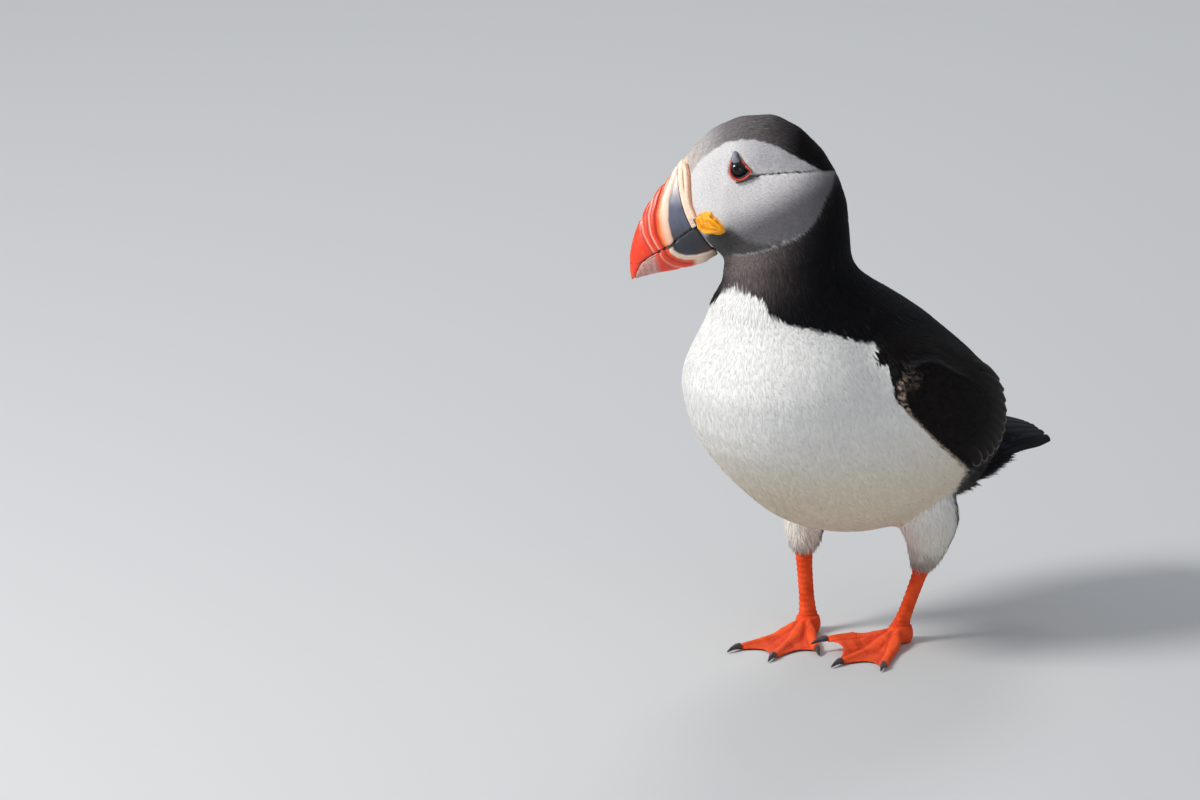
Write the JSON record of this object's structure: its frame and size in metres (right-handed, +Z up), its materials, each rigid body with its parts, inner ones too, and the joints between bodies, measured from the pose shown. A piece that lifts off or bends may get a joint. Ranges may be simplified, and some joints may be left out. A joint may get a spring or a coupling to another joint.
{
  "type": "life-size standing atlantic puffin display model",
  "caption": "Life-size still model of a standing puffin in summer plumage, head turned to its right, resting on its webbed feet.",
  "frame": {"origin": "middle of the underside of the model's box, on the floor under the bird", "axes": "+Z up, the breast faces -Y, the bird's left side is +X"},
  "size_m": [0.097, 0.1734, 0.204],
  "materials": {
    "black_feathers": "soft black contour feathers",
    "white_feathers": "soft white contour feathers",
    "face_feathers": "very short pale grey feathers",
    "bill_red": "satin orange-red horn",
    "bill_cream": "satin cream horn",
    "gape_skin": "wrinkled yellow-orange skin",
    "leg_skin": "scaly orange-red skin",
    "claw_horn": "smooth dark horn",
    "eye_dark": "wet dark eye",
    "eye_plate_horn": "dull blue-grey horn"
  },
  "bodies": {
    "root": {"bill_cere": "bill_cream", "bill_lower": "bill_red", "bill_upper": "bill_red", "claw_left_inner": "claw_horn", "claw_left_middle": "claw_horn", "claw_left_outer": "claw_horn", "claw_right_inner": "claw_horn", "claw_right_middle": "claw_horn", "claw_right_outer": "claw_horn", "eye_left": "eye_dark", "eye_plate_lower_left": "eye_plate_horn", "eye_plate_lower_right": "eye_plate_horn", "eye_plate_upper_left": "eye_plate_horn", "eye_plate_upper_right": "eye_plate_horn", "eye_right": "eye_dark", "foot_left": "leg_skin", "foot_right": "leg_skin", "head": "face_feathers", "neck": "black_feathers", "rosette_left": "gape_skin", "rosette_right": "gape_skin", "tail": "black_feathers", "tarsus_left": "leg_skin", "tarsus_right": "leg_skin", "thigh_left": "white_feathers", "thigh_right": "white_feathers", "trunk": "white_feathers", "wing_left": "black_feathers", "wing_right": "black_feathers"}
  },
  "joints": []
}
